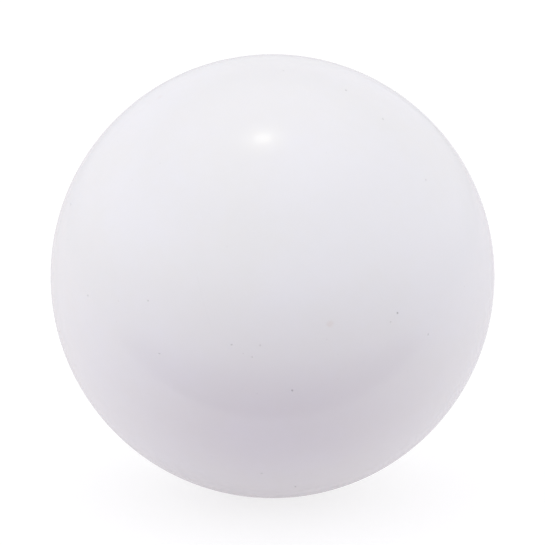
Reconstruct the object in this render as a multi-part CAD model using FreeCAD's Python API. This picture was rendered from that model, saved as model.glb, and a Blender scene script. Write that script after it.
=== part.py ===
import FreeCAD, Part
import os

# Cue ball for pool: one sphere of cast phenolic resin, ground and polished to size.
#
# The origin is the ball's centre and +Z is up, so a ball at rest touches the table at (0, 0, -BALL_RADIUS).
# Nothing is fitted to the ball and nothing is held inside it. The resin is cast, cured, ground and polished
# as a single piece, so the whole object is the one solid that cue_ball() makes.

# Driving dimension, in millimetres
BALL_DIAMETER = 57.15  # 2 1/4 in, the size of a regulation pool ball

# Worked out from it
BALL_RADIUS = BALL_DIAMETER / 2

PARTS_FOLDER = "parts"


def cue_ball():
    """The whole ball, solid to its centre, with its poles on the Z axis."""
    centre = FreeCAD.Vector(0, 0, 0)
    return Part.makeSphere(BALL_RADIUS, centre)


NODES = {
    "cue_ball": cue_ball,
}


def main():
    os.makedirs(PARTS_FOLDER, exist_ok=True)
    for name, make_solid in NODES.items():
        make_solid().exportStep(f"{PARTS_FOLDER}/{name}.step")


main()
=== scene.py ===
"""The looks of the cue ball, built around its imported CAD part.

The ball is one piece of polished white phenolic resin that has been played with. Its mesh is a sphere
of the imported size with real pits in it, and its material adds the resin's faint clouding, dirt in the pits,
faint stains, specks of dust, hairline scratches and the smears of handling. Everything is in metres, in the
part's own frame.
"""

import math
import random
from collections import namedtuple

import bmesh
import bpy
from mathutils import Matrix, Quaternion, Vector, noise
from mathutils.kdtree import KDTree

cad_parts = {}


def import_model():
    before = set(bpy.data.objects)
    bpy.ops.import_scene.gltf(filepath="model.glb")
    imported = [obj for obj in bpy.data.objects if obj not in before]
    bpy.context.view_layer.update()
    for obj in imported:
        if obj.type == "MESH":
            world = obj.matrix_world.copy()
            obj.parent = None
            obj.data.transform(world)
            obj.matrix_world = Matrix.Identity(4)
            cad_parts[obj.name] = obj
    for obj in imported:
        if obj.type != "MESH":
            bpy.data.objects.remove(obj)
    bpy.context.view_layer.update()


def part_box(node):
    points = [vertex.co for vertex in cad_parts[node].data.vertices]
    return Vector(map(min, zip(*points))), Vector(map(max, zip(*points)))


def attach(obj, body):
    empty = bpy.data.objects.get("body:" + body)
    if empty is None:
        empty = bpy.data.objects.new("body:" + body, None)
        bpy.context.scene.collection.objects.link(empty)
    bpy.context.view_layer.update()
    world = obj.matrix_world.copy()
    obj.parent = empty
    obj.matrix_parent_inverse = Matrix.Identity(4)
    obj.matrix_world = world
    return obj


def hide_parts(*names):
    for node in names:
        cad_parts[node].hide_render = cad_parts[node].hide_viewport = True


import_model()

MM = 0.001
NODE = "cue_ball"
LOWEST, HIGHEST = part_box(NODE)
CENTRE = (LOWEST + HIGHEST) / 2
RADIUS = (HIGHEST.z - LOWEST.z) / 2
FLOOR_Z = LOWEST.z

# Camera
CAMERA_ELEVATION = math.radians(13)
LENS_MM = 200
SENSOR_MM = 36
BALL_SHARE_OF_FRAME = 0.815  # the ball's outline against the picture's width
AIM_ABOVE_CENTRE = 0.0162  # how far above the ball's centre the camera aims, in radii
CAMERA_CLIP_START = 10 * MM

# Mesh
FACES_ALONG_SIDE = 56  # quads along each side of the cube that the sphere is blown up from
FINER_STEPS = 5  # how often the quads round a pit are halved
FINER_REACH = 0.6  # how far from a pit's middle that happens, in the pit's widths, and one quad more


# ---------------------------------------------------------------- marks of play

# A pit's longitude is counted from the front of the ball (-Y) towards +X, and its latitude upwards, in
# degrees. Soil is how much dirt has lodged in it, from 0 to 1.
Pit = namedtuple("Pit", "longitude latitude width depth soil")

# Where pits show on the front, as longitude and latitude, sorted by how dark they look. Only the last of the
# dark ones looks as light as the faint ones: it is low down and seen slantwise, so it is given more soil.
DARK_PITS = [(32, 2), (-4, -46), (5, -16), (10, -55)]
GREY_PITS = [(-29, -8), (-10, -4), (42, -5), (-53, 3), (-32, 5)]
FAINT_PITS = [(30, 0), (-3, -4), (-5, -7), (51, 52), (52, 33)]

# The width, depth and soil of each kind
DARK_PIT = 0.32 * MM, 0.08 * MM, 0.40
GREY_PIT = 0.32 * MM, 0.06 * MM, 0.15
FAINT_PIT = 0.26 * MM, 0.05 * MM, 0.12

# The pits scattered over the rest of the ball
SCATTERED_PITS = 44
SCATTER_SEED = 5
SCATTERED_WIDTHS = 0.16 * MM, 0.36 * MM
SCATTERED_DEPTHS = 0.18, 0.28  # in widths
SCATTERED_SOILS = 0.12, 0.5
SCATTERED_APART = math.radians(3)
FRONT_MIDDLE = 0, 5  # the longitude and latitude of the middle of the front
FRONT_KEPT_CLEAR = math.radians(62)  # scattered pits stay this far from the front's middle

# A pit's shape. Its rim is lobed and the bowl's floor is rough, as where resin chips.
LOBES = 0.45  # how far the lobes push the rim in or out, as a share of its radius
LOBES_PER_WIDTH = 1.6
PIT_REACH = 1.5  # no rim gets this far from its pit's middle, in half-widths
FLOOR_ROUGHNESS = 0.3  # how far the grain moves the bowl's floor, as a share of its depth
GRAINS_PER_WIDTH = 5
SOIL_SPREAD = 1.6  # over 1, soil reaches its full share before the deepest place
SLOPE_STEP = 0.004 * MM  # over this distance each way a pit's slope is measured


def direction(longitude, latitude):
    """The unit vector from the ball's centre to a place on it, given in degrees."""
    lon, lat = math.radians(longitude), math.radians(latitude)
    return Vector((math.sin(lon) * math.cos(lat), -math.cos(lon) * math.cos(lat), math.sin(lat)))


def front_pits():
    """The pits on the front, each of its kind's size."""
    kinds = ((DARK_PITS, DARK_PIT), (GREY_PITS, GREY_PIT), (FAINT_PITS, FAINT_PIT))
    return [Pit(*place, *size) for places, size in kinds for place in places]


def scattered_pits():
    """Pits spread at random over the rest of the ball, each clear of the others."""
    rng = random.Random(SCATTER_SEED)
    front = direction(*FRONT_MIDDLE)
    narrowest, widest = SCATTERED_WIDTHS
    pits = []
    while len(pits) < SCATTERED_PITS:
        latitude = math.degrees(math.asin(rng.uniform(-1, 1)))
        longitude = rng.uniform(-180, 180)
        size = rng.random() ** 2
        width = narrowest + (widest - narrowest) * size
        depth = width * rng.uniform(*SCATTERED_DEPTHS)
        pit = Pit(longitude, latitude, width, depth, rng.uniform(*SCATTERED_SOILS))
        place = direction(longitude, latitude)
        apart = min((place.angle(direction(p.longitude, p.latitude)) for p in pits), default=math.pi)
        if place.angle(front) > FRONT_KEPT_CLEAR and apart > SCATTERED_APART:
            pits.append(pit)
    return pits


PITS = front_pits() + scattered_pits()


# ---------------------------------------------------------------- ball mesh

def cube_sphere():
    """A unit sphere of nearly equal quads, blown up from a cube."""
    bm = bmesh.new()
    bmesh.ops.create_cube(bm, size=2)
    bmesh.ops.subdivide_edges(bm, edges=bm.edges[:], cuts=FACES_ALONG_SIDE - 1, use_grid_fill=True)
    for vert in bm.verts:
        vert.co = Vector([math.tan(c * math.pi / 4) for c in vert.co]).normalized()
    return bm


def refine_round(bm, pits, finder):
    """Halves the quads in and beside each pit, and again nearer to it, so that its shape is in the mesh."""
    edge = math.pi / 2 / FACES_ALONG_SIDE
    for _ in range(FINER_STEPS):
        near = []
        for face in bm.faces:
            _, index, away = finder.find(face.calc_center_median().normalized())
            if away < pits[index].width / RADIUS * FINER_REACH + edge:
                near.append(face)
        edges = list({e for face in near for e in face.edges})
        bmesh.ops.subdivide_edges(bm, edges=edges, cuts=1, use_grid_fill=True, use_single_edge=True)
        for vert in bm.verts:
            vert.co.normalize()
        edge /= 2


def pit_finder(pits):
    tree = KDTree(len(pits))
    for index, pit in enumerate(pits):
        tree.insert(direction(pit.longitude, pit.latitude), index)
    tree.balance()
    return tree


def bowl(place, pits, finder):
    """How far into a pit a place on the unit sphere lies: 0 at or outside its rim, about 1 at its deepest.
    Returns that and the pit."""
    _, index, away = finder.find(place)
    pit = pits[index]
    reach = pit.width / 2 / RADIUS
    if away > PIT_REACH * reach:
        return 0.0, pit
    lobe = noise.noise(place * (RADIUS / pit.width * LOBES_PER_WIDTH) + Vector((index, 0, 0)))
    grain = noise.noise(place * (RADIUS / pit.width * GRAINS_PER_WIDTH) + Vector((0, index, 0)))
    inside = 1 - (away / (reach * (1 + LOBES * lobe))) ** 2
    return max(0.0, inside * (1 + FLOOR_ROUGHNESS * grain)), pit


def pitted(bm, pits, finder):
    """Sinks the pits into the unit sphere. Returns each vertex's normal and how much soil it holds."""
    step = SLOPE_STEP / RADIUS
    normals = []
    soil = []
    for vert in bm.verts:
        place = vert.co.copy()
        side = place.orthogonal().normalized()
        up = place.cross(side)
        inside, pit = bowl(place, pits, finder)
        if inside > 0:
            slopes = []
            for along in (side, up):
                ahead, _ = bowl((place + along * step).normalized(), pits, finder)
                behind, _ = bowl((place - along * step).normalized(), pits, finder)
                slopes.append((ahead - behind) * pit.depth / RADIUS / (2 * step))
            normals.append((place + side * slopes[0] + up * slopes[1]).normalized())
            vert.co = place * (1 - inside * pit.depth / RADIUS)
            soil.append(min(1.0, inside * SOIL_SPREAD) * pit.soil)
        else:
            normals.append(place)
            soil.append(0.0)
    return normals, soil


def ball_mesh():
    """The ball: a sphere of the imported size, with its pits."""
    finder = pit_finder(PITS)
    bm = cube_sphere()
    refine_round(bm, PITS, finder)
    bm.verts.ensure_lookup_table()
    normals, soil = pitted(bm, PITS, finder)
    mesh = bpy.data.meshes.new("ball")
    bm.to_mesh(mesh)
    bm.free()
    mesh.transform(Matrix.Translation(CENTRE) @ Matrix.Scale(RADIUS, 4))
    mesh.attributes.new("soil", "FLOAT", "POINT").data.foreach_set("value", soil)
    mesh.shade_smooth()
    mesh.normals_split_custom_set_from_vertices(normals)
    return mesh


# ---------------------------------------------------------------- node helpers

class Tree:
    """A short way to write a shader's nodes."""

    def __init__(self, owner):
        owner.use_nodes = True
        self.tree = owner.node_tree
        self.tree.nodes.clear()

    def add(self, kind, values=None, **settings):
        """A node of that kind. Values go on its inputs: a socket is linked, anything else is set."""
        node = self.tree.nodes.new(kind)
        for name, value in settings.items():
            setattr(node, name, value)
        for name, value in (values or {}).items():
            if isinstance(value, bpy.types.NodeSocket):
                self.tree.links.new(value, node.inputs[name])
            else:
                node.inputs[name].default_value = value
        return node

    def math(self, operation, a, b=0.0):
        return self.add("ShaderNodeMath", {0: a, 1: b}, operation=operation).outputs[0]

    def spread(self, value, low, high, to_low=0.0, to_high=1.0):
        """Value's range from low to high, mapped smoothly to another range and held at its ends."""
        ranges = {"Value": value, "From Min": low, "From Max": high, "To Min": to_low, "To Max": to_high}
        return self.add("ShaderNodeMapRange", ranges, interpolation_type="SMOOTHSTEP").outputs[0]

    def blend(self, share, a, b, mode="MIX"):
        """Colour a turning into colour b as share goes from 0 to 1."""
        node = self.add("ShaderNodeMix", data_type="RGBA", blend_type=mode)
        for socket, value in ((node.inputs[0], share), (node.inputs[6], a), (node.inputs[7], b)):
            if isinstance(value, bpy.types.NodeSocket):
                self.tree.links.new(value, socket)
            else:
                socket.default_value = value
        return node.outputs[2]

    def noise(self, place, scale, detail, distortion=0.0):
        values = {"Vector": place, "Scale": scale, "Detail": detail, "Distortion": distortion}
        return self.add("ShaderNodeTexNoise", values).outputs["Fac"]

    def output(self, kind, surface):
        node = self.tree.nodes.new(kind)
        self.tree.links.new(surface, node.inputs["Surface"])


def grey(level):
    return (level, level, level, 1)


# ---------------------------------------------------------------- resin

RESIN = (0.866, 0.866, 0.884, 1)
RESIN_AGED = (0.857, 0.855, 0.855, 1)
SOIL = (0.16, 0.15, 0.16, 1)
STAIN = (0.60, 0.36, 0.26, 1)
MOTE = (0.30, 0.28, 0.27, 1)

RESIN_IOR = 1.6
LIGHT_SCATTERED_INSIDE = 0.3  # the share of the light that goes into the resin and is scattered back out
SCATTER_BY_COLOUR = (1.0, 0.95, 0.9)
SCATTER_DISTANCE = 0.8 * MM

# Noise runs from 0 to 1, mostly near 0.5. These are the values between which each kind takes effect.
CLOUD_RANGE = 0.65, 0.35
MOTTLE_RANGE = 0.3, 0.7
SMEAR_RANGE = 0.45, 0.75

CLOUD_SIZE = 18 * MM
MOTTLE_SIZE = 1.6 * MM
MOTTLE_SHARE = 0.15  # how far the mottle moves the colour towards fresh or aged resin
MOTE_SPACING = 1.7 * MM
MOTE_SIZE = 0.15 * MM
MOTE_SHARE = 0.35  # how far the darkest mote's colour turns into MOTE
SMEAR_SIZE = 11 * MM
SMEAR_SWIRL = 1.2
ROUGHNESS = 0.06
ROUGHNESS_SMEARED = 0.10
ROUGHNESS_OF_SCRATCH = 0.25  # this and the next are added to the resin's own
ROUGHNESS_OF_SOIL = 0.6

# How much of a mark's half-width, or of a scratch's half-length, has its full strength
MOTE_CORE = 0.4
STAIN_CORE = 0.3
SCRATCH_CORE = 0.3

# A stain is placed as a pit is. Its share is how far the resin's colour turns into the stain's.
Stain = namedtuple("Stain", "longitude latitude width share")

STAINS = [
    Stain(14, 1, 1.3 * MM, 0.10),
    Stain(-118, 24, 1.8 * MM, 0.08),
    Stain(96, -22, 1.3 * MM, 0.10),
    Stain(168, 12, 1.1 * MM, 0.12),
    Stain(-70, 58, 1.5 * MM, 0.07),
]
STAIN_GRAIN = 0.6 * MM
STAIN_RAGGED = 0.6 * MM  # how far in and out the noise moves a stain's edge, from end to end

SCRATCHES = 20
SCRATCH_SEED = 11
SCRATCH_WIDTH = 0.07 * MM
SCRATCH_DEPTH = 0.0015 * MM
SCRATCH_HALF_LENGTHS = 2 * MM, 9 * MM
SCRATCH_STRENGTHS = 0.4, 1.0
SCRATCH_TILT = 0.5  # how far the cutting plane leans at most, 0 being straight through the ball's middle
SCRATCH_SOIL = 0.06  # how far a scratch's colour turns into SOIL


def stains(t, place):
    """Faint stains with ragged edges: each one's share in its middle, and 0 outside."""
    ragged = t.math("SUBTRACT", t.noise(place, 1 / STAIN_GRAIN, detail=3), 0.5)
    ragged = t.math("MULTIPLY", ragged, STAIN_RAGGED)
    total = 0.0
    for stain in STAINS:
        middle = CENTRE + direction(stain.longitude, stain.latitude) * RADIUS
        away = t.add("ShaderNodeVectorMath", {0: place, 1: middle}, operation="DISTANCE").outputs["Value"]
        reach = stain.width / 2
        shape = t.spread(t.math("ADD", away, ragged), reach, STAIN_CORE * reach, 0.0, stain.share)
        total = t.math("MAXIMUM", shape, total)
    return total


def motes(t, place):
    """Specks of dust cast into the resin, seen where the surface was ground through them."""
    cells = t.add("ShaderNodeTexVoronoi", {"Vector": place, "Scale": 1 / MOTE_SPACING})
    edge = MOTE_SIZE / 2 / MOTE_SPACING
    shape = t.spread(cells.outputs["Distance"], edge, MOTE_CORE * edge)
    luck = t.add("ShaderNodeSeparateColor", {0: cells.outputs["Color"]}).outputs[0]
    luck = t.math("MULTIPLY", luck, luck)
    return t.math("MULTIPLY", shape, t.math("MULTIPLY", luck, MOTE_SHARE))


def scratches(t, place):
    """Hairline scratches, 1 along the middle of a strong one. Each is a stretch of the thin ring in which
    a plane cuts the ball, and fades towards its ends."""
    rng = random.Random(SCRATCH_SEED)
    total = 0.0
    for _ in range(SCRATCHES):
        middle = direction(rng.uniform(-180, 180), math.degrees(math.asin(rng.uniform(-1, 1))))
        across = middle.orthogonal().normalized()
        across.rotate(Quaternion(middle, rng.uniform(0, math.tau)))
        cut = (across + middle * rng.uniform(-SCRATCH_TILT, SCRATCH_TILT)).normalized()
        middle = CENTRE + middle * RADIUS
        half_length = rng.uniform(*SCRATCH_HALF_LENGTHS)
        offset = t.add("ShaderNodeVectorMath", {0: place, 1: cut}, operation="DOT_PRODUCT").outputs["Value"]
        offset = t.math("ABSOLUTE", t.math("SUBTRACT", offset, middle.dot(cut)))
        away = t.add("ShaderNodeVectorMath", {0: place, 1: middle}, operation="DISTANCE").outputs["Value"]
        line = t.spread(offset, SCRATCH_WIDTH / 2, 0.0)
        strength = rng.uniform(*SCRATCH_STRENGTHS)
        taper = t.spread(away, half_length, SCRATCH_CORE * half_length, 0.0, strength)
        total = t.math("MAXIMUM", t.math("MULTIPLY", line, taper), total)
    return total


def resin():
    """Polished white phenolic resin, played with."""
    material = bpy.data.materials.new("phenolic_resin")
    t = Tree(material)
    place = t.add("ShaderNodeTexCoord").outputs["Object"]
    soil = t.add("ShaderNodeAttribute", attribute_name="soil").outputs["Fac"]
    scratched = scratches(t, place)

    clouds = t.spread(t.noise(place, 1 / CLOUD_SIZE, detail=3), *CLOUD_RANGE)
    mottle = t.spread(t.noise(place, 1 / MOTTLE_SIZE, detail=2), *MOTTLE_RANGE, -MOTTLE_SHARE, MOTTLE_SHARE)
    colour = t.blend(t.math("ADD", clouds, mottle), RESIN, RESIN_AGED)
    colour = t.blend(stains(t, place), colour, STAIN)
    colour = t.blend(motes(t, place), colour, MOTE)
    colour = t.blend(t.math("MULTIPLY", scratched, SCRATCH_SOIL), colour, SOIL)
    colour = t.blend(soil, colour, SOIL)

    smears = t.noise(place, 1 / SMEAR_SIZE, detail=5, distortion=SMEAR_SWIRL)
    roughness = t.spread(smears, *SMEAR_RANGE, ROUGHNESS, ROUGHNESS_SMEARED)
    roughness = t.math("ADD", roughness, t.math("MULTIPLY", scratched, ROUGHNESS_OF_SCRATCH))
    roughness = t.math("ADD", roughness, t.math("MULTIPLY", soil, ROUGHNESS_OF_SOIL))

    height = t.math("SUBTRACT", 0.0, scratched)
    bump = t.add("ShaderNodeBump", {"Height": height, "Distance": SCRATCH_DEPTH, "Strength": 1.0})
    shader = t.add("ShaderNodeBsdfPrincipled", {
        "Base Color": colour,
        "Roughness": roughness,
        "IOR": RESIN_IOR,
        "Normal": bump.outputs[0],
        "Subsurface Weight": LIGHT_SCATTERED_INSIDE,
        "Subsurface Radius": SCATTER_BY_COLOUR,
        "Subsurface Scale": SCATTER_DISTANCE,
    })
    t.output("ShaderNodeOutputMaterial", shader.outputs[0])
    return material


def ball():
    piece = bpy.data.objects.new("ball", ball_mesh())
    bpy.context.scene.collection.objects.link(piece)
    piece.data.materials.append(resin())
    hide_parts(NODE)
    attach(piece, "root")


# ---------------------------------------------------------------- studio

# Light, as the ball sees it. The tent's walls and roof, where a height is the sine of its angle:
TENT = (0.755, 0.748, 0.777, 1)
ROOF_STARTS = 0.6  # the height from which the tent grows brighter upwards
ROOF_GAIN = 0.46
SIDES_GAIN = 0.40  # how much brighter its sides are, but not in the ball's polish, which would lose its rim
WALL_GAIN = 0.15  # how much brighter its walls are, above the floor and below the roof, in the polish alone
WALL_FOOT = 0.0, 0.2  # the heights between which that gain sets in
WALL_TOP = 0.8, 0.4  # at the first height it is gone again, and at the second it is still whole

# The lamp over the roof, which gives the ball its one small highlight, and the lit cloth round it
LAMP_AT = Vector((-0.065, -0.044))  # x and y of the way to the lamp
LAMP_HALF = Vector((0.056, 0.052))  # its half-width along X and Y, in the same measure
LAMP = (1.2, 1.2, 1.0, 1)
LAMP_EDGE = 0.9, 1.3  # where its light starts to fade and where it is gone, in half-widths
LAMP_GLOW = (0.98, 0.98, 0.75, 1)
GLOW_EDGE = 0.8, 4.2

# The white sheet under the ball, and the table in front of the sheet's edge
SHEET_EDGE_Y = -34.5 * MM
SHEET_ROUND = 280 * MM  # the radius of its front edge
SHEET_SOFTNESS = 1 * MM
SHEET_GLOW = (0.407, 0.384, 0.403, 1)
SHEET_WHITE = 0.4
SHEET_GAIN_BESIDE_PAINTED_SHADOW = 0.22  # how much brighter the sheet glows to either side of the ball, but not in the ball's polish; the lower glow in the band between is a painted shadow of the ball
SHEET_PAINTED_SHADOW_REACH = 5 * MM, 45 * MM  # how far aside that gain starts, and is whole, so how wide the painted shadow is
DARK = (0.22, 0.10, 0.255, 1)  # a dark patch of the table, straight in front of the ball
DARK_FADES_X = 20 * MM, 80 * MM  # how far aside it fades into the tent's light
DARK_FADES_Y = -40 * MM, -75 * MM  # how far in front it fades, counted from the ball's middle
DARK_MIRRORED = (0.37, 0.31, 0.41, 1)  # the same patch in the ball's polish
MIRRORED_FADES_X = 55 * MM, 105 * MM  # how far aside it fades there
LEFT_GAIN = 0.48  # how much of the tent's light is added on the left, but again not in the ball's polish
LEFT_WIDTH = 120 * MM

# What the camera sees instead of the tent: white all round, and a lit floor with a soft shadow on it
BACKDROP = (1, 1, 1, 1)
FLOOR_SIZE = 6.0
FLOOR_GLOW = 0.66
FLOOR_WHITE = 0.40


def world():
    """The light tent that the ball reflects, and a plain white backdrop for the camera."""
    scene = bpy.context.scene
    scene.world = bpy.data.worlds.new("studio")
    t = Tree(scene.world)
    way = t.add("ShaderNodeTexCoord").outputs["Generated"]
    x, y, z = t.add("ShaderNodeSeparateXYZ", {0: way}).outputs
    roof = t.spread(z, ROOF_STARTS, 1.0, 1.0, 1.0 + ROOF_GAIN)
    rays = t.add("ShaderNodeLightPath").outputs
    sides = t.spread(t.math("ABSOLUTE", x), 0.0, 1.0, 0.0, SIDES_GAIN)
    walls = t.math("MULTIPLY", t.spread(z, *WALL_FOOT, 0.0, WALL_GAIN), t.spread(z, *WALL_TOP))
    gain = t.math("ADD", roof, t.blend(rays["Is Glossy Ray"], sides, walls))
    tent = t.blend(1.0, TENT, gain, "MULTIPLY")

    off_x = t.math("DIVIDE", t.math("SUBTRACT", x, LAMP_AT.x), LAMP_HALF.x)
    off_y = t.math("DIVIDE", t.math("SUBTRACT", y, LAMP_AT.y), LAMP_HALF.y)
    off = t.math("SQRT", t.math("ADD", t.math("POWER", off_x, 2.0), t.math("POWER", off_y, 2.0)))
    overhead = t.math("GREATER_THAN", z, 0.0)
    core = t.math("MULTIPLY", overhead, t.spread(off, LAMP_EDGE[1], LAMP_EDGE[0]))
    glow = t.math("MULTIPLY", overhead, t.spread(off, GLOW_EDGE[1], GLOW_EDGE[0]))
    tent = t.blend(core, tent, t.blend(1.0, tent, LAMP, "ADD"))
    tent = t.blend(glow, tent, t.blend(1.0, tent, LAMP_GLOW, "ADD"))

    seen = t.blend(rays["Is Camera Ray"], tent, BACKDROP)
    background = t.add("ShaderNodeBackground", {"Color": seen})
    t.output("ShaderNodeOutputWorld", background.outputs[0])


def floor_material():
    """To the ball, a white sheet and the table in front of it, which fades into the tent's wall. To the
    camera, one pale floor lit from below."""
    material = bpy.data.materials.new("floor")
    t = Tree(material)
    place = t.add("ShaderNodeTexCoord").outputs["Object"]
    x, y = t.add("ShaderNodeSeparateXYZ", {0: place}).outputs[:2]
    rays = t.add("ShaderNodeLightPath").outputs
    mirrored = rays["Is Glossy Ray"]
    y = t.math("SUBTRACT", y, t.math("DIVIDE", t.math("POWER", x, 2.0), 2 * SHEET_ROUND))
    dark = t.blend(mirrored, DARK, DARK_MIRRORED)
    aside = t.spread(t.math("ABSOLUTE", x), *DARK_FADES_X)
    aside = t.blend(mirrored, aside, t.spread(t.math("ABSOLUTE", x), *MIRRORED_FADES_X))
    ahead = t.spread(y, *DARK_FADES_Y)
    table = t.blend(t.math("MAXIMUM", aside, ahead), dark, TENT)
    leftwards = t.spread(x, 0.0, -LEFT_WIDTH, 0.0, LEFT_GAIN)
    leftwards = t.math("MULTIPLY", leftwards, t.math("SUBTRACT", 1.0, mirrored))
    table = t.blend(leftwards, table, t.blend(1.0, table, TENT, "ADD"))
    # Painted shadow: the sheet glows less in a band along Y in line with the ball, standing in for the ball's
    # shadow on it, in the light the ball scatters but not in its polish
    clear = t.spread(t.math("ABSOLUTE", x), *SHEET_PAINTED_SHADOW_REACH, 1.0, 1.0 + SHEET_GAIN_BESIDE_PAINTED_SHADOW)
    sheet = t.blend(1.0, SHEET_GLOW, t.blend(mirrored, clear, grey(1)), "MULTIPLY")
    on_sheet = t.spread(y, SHEET_EDGE_Y - SHEET_SOFTNESS, SHEET_EDGE_Y + SHEET_SOFTNESS)

    to_camera = rays["Is Camera Ray"]
    glow = t.blend(to_camera, t.blend(on_sheet, table, sheet), grey(FLOOR_GLOW))
    white = t.blend(to_camera, t.blend(on_sheet, grey(0), grey(SHEET_WHITE)), grey(FLOOR_WHITE))
    diffuse = t.add("ShaderNodeBsdfDiffuse", {"Color": white})
    emission = t.add("ShaderNodeEmission", {"Color": glow})
    both = t.add("ShaderNodeAddShader", {0: diffuse.outputs[0], 1: emission.outputs[0]})
    t.output("ShaderNodeOutputMaterial", both.outputs[0])
    return material


def floor():
    """A plain floor under the ball."""
    half = FLOOR_SIZE / 2
    corners = [(-half, -half), (half, -half), (half, half), (-half, half)]
    mesh = bpy.data.meshes.new("floor")
    mesh.from_pydata([(x, y, FLOOR_Z) for x, y in corners], [], [(0, 1, 2, 3)])
    mesh.materials.append(floor_material())
    piece = bpy.data.objects.new("floor", mesh)
    bpy.context.scene.collection.objects.link(piece)


def camera():
    """The camera looks down at the ball from the front, with the ball nearly filling the picture."""
    data = bpy.data.cameras.new("camera")
    data.lens = LENS_MM
    data.sensor_width = SENSOR_MM
    data.clip_start = CAMERA_CLIP_START
    piece = bpy.data.objects.new("camera", data)
    bpy.context.scene.collection.objects.link(piece)
    outline = BALL_SHARE_OF_FRAME * SENSOR_MM / 2 / LENS_MM
    distance = RADIUS / math.sin(math.atan(outline))
    back = Vector((0, -math.cos(CAMERA_ELEVATION), math.sin(CAMERA_ELEVATION)))
    up = Vector((0, math.sin(CAMERA_ELEVATION), math.cos(CAMERA_ELEVATION)))
    aim = CENTRE + up * RADIUS * AIM_ABOVE_CENTRE
    piece.location = CENTRE + back * distance
    piece.rotation_euler = (aim - piece.location).to_track_quat("-Z", "Y").to_euler()
    bpy.context.scene.camera = piece


ball()
world()
floor()
camera()
bpy.context.scene.view_settings.view_transform = "Standard"
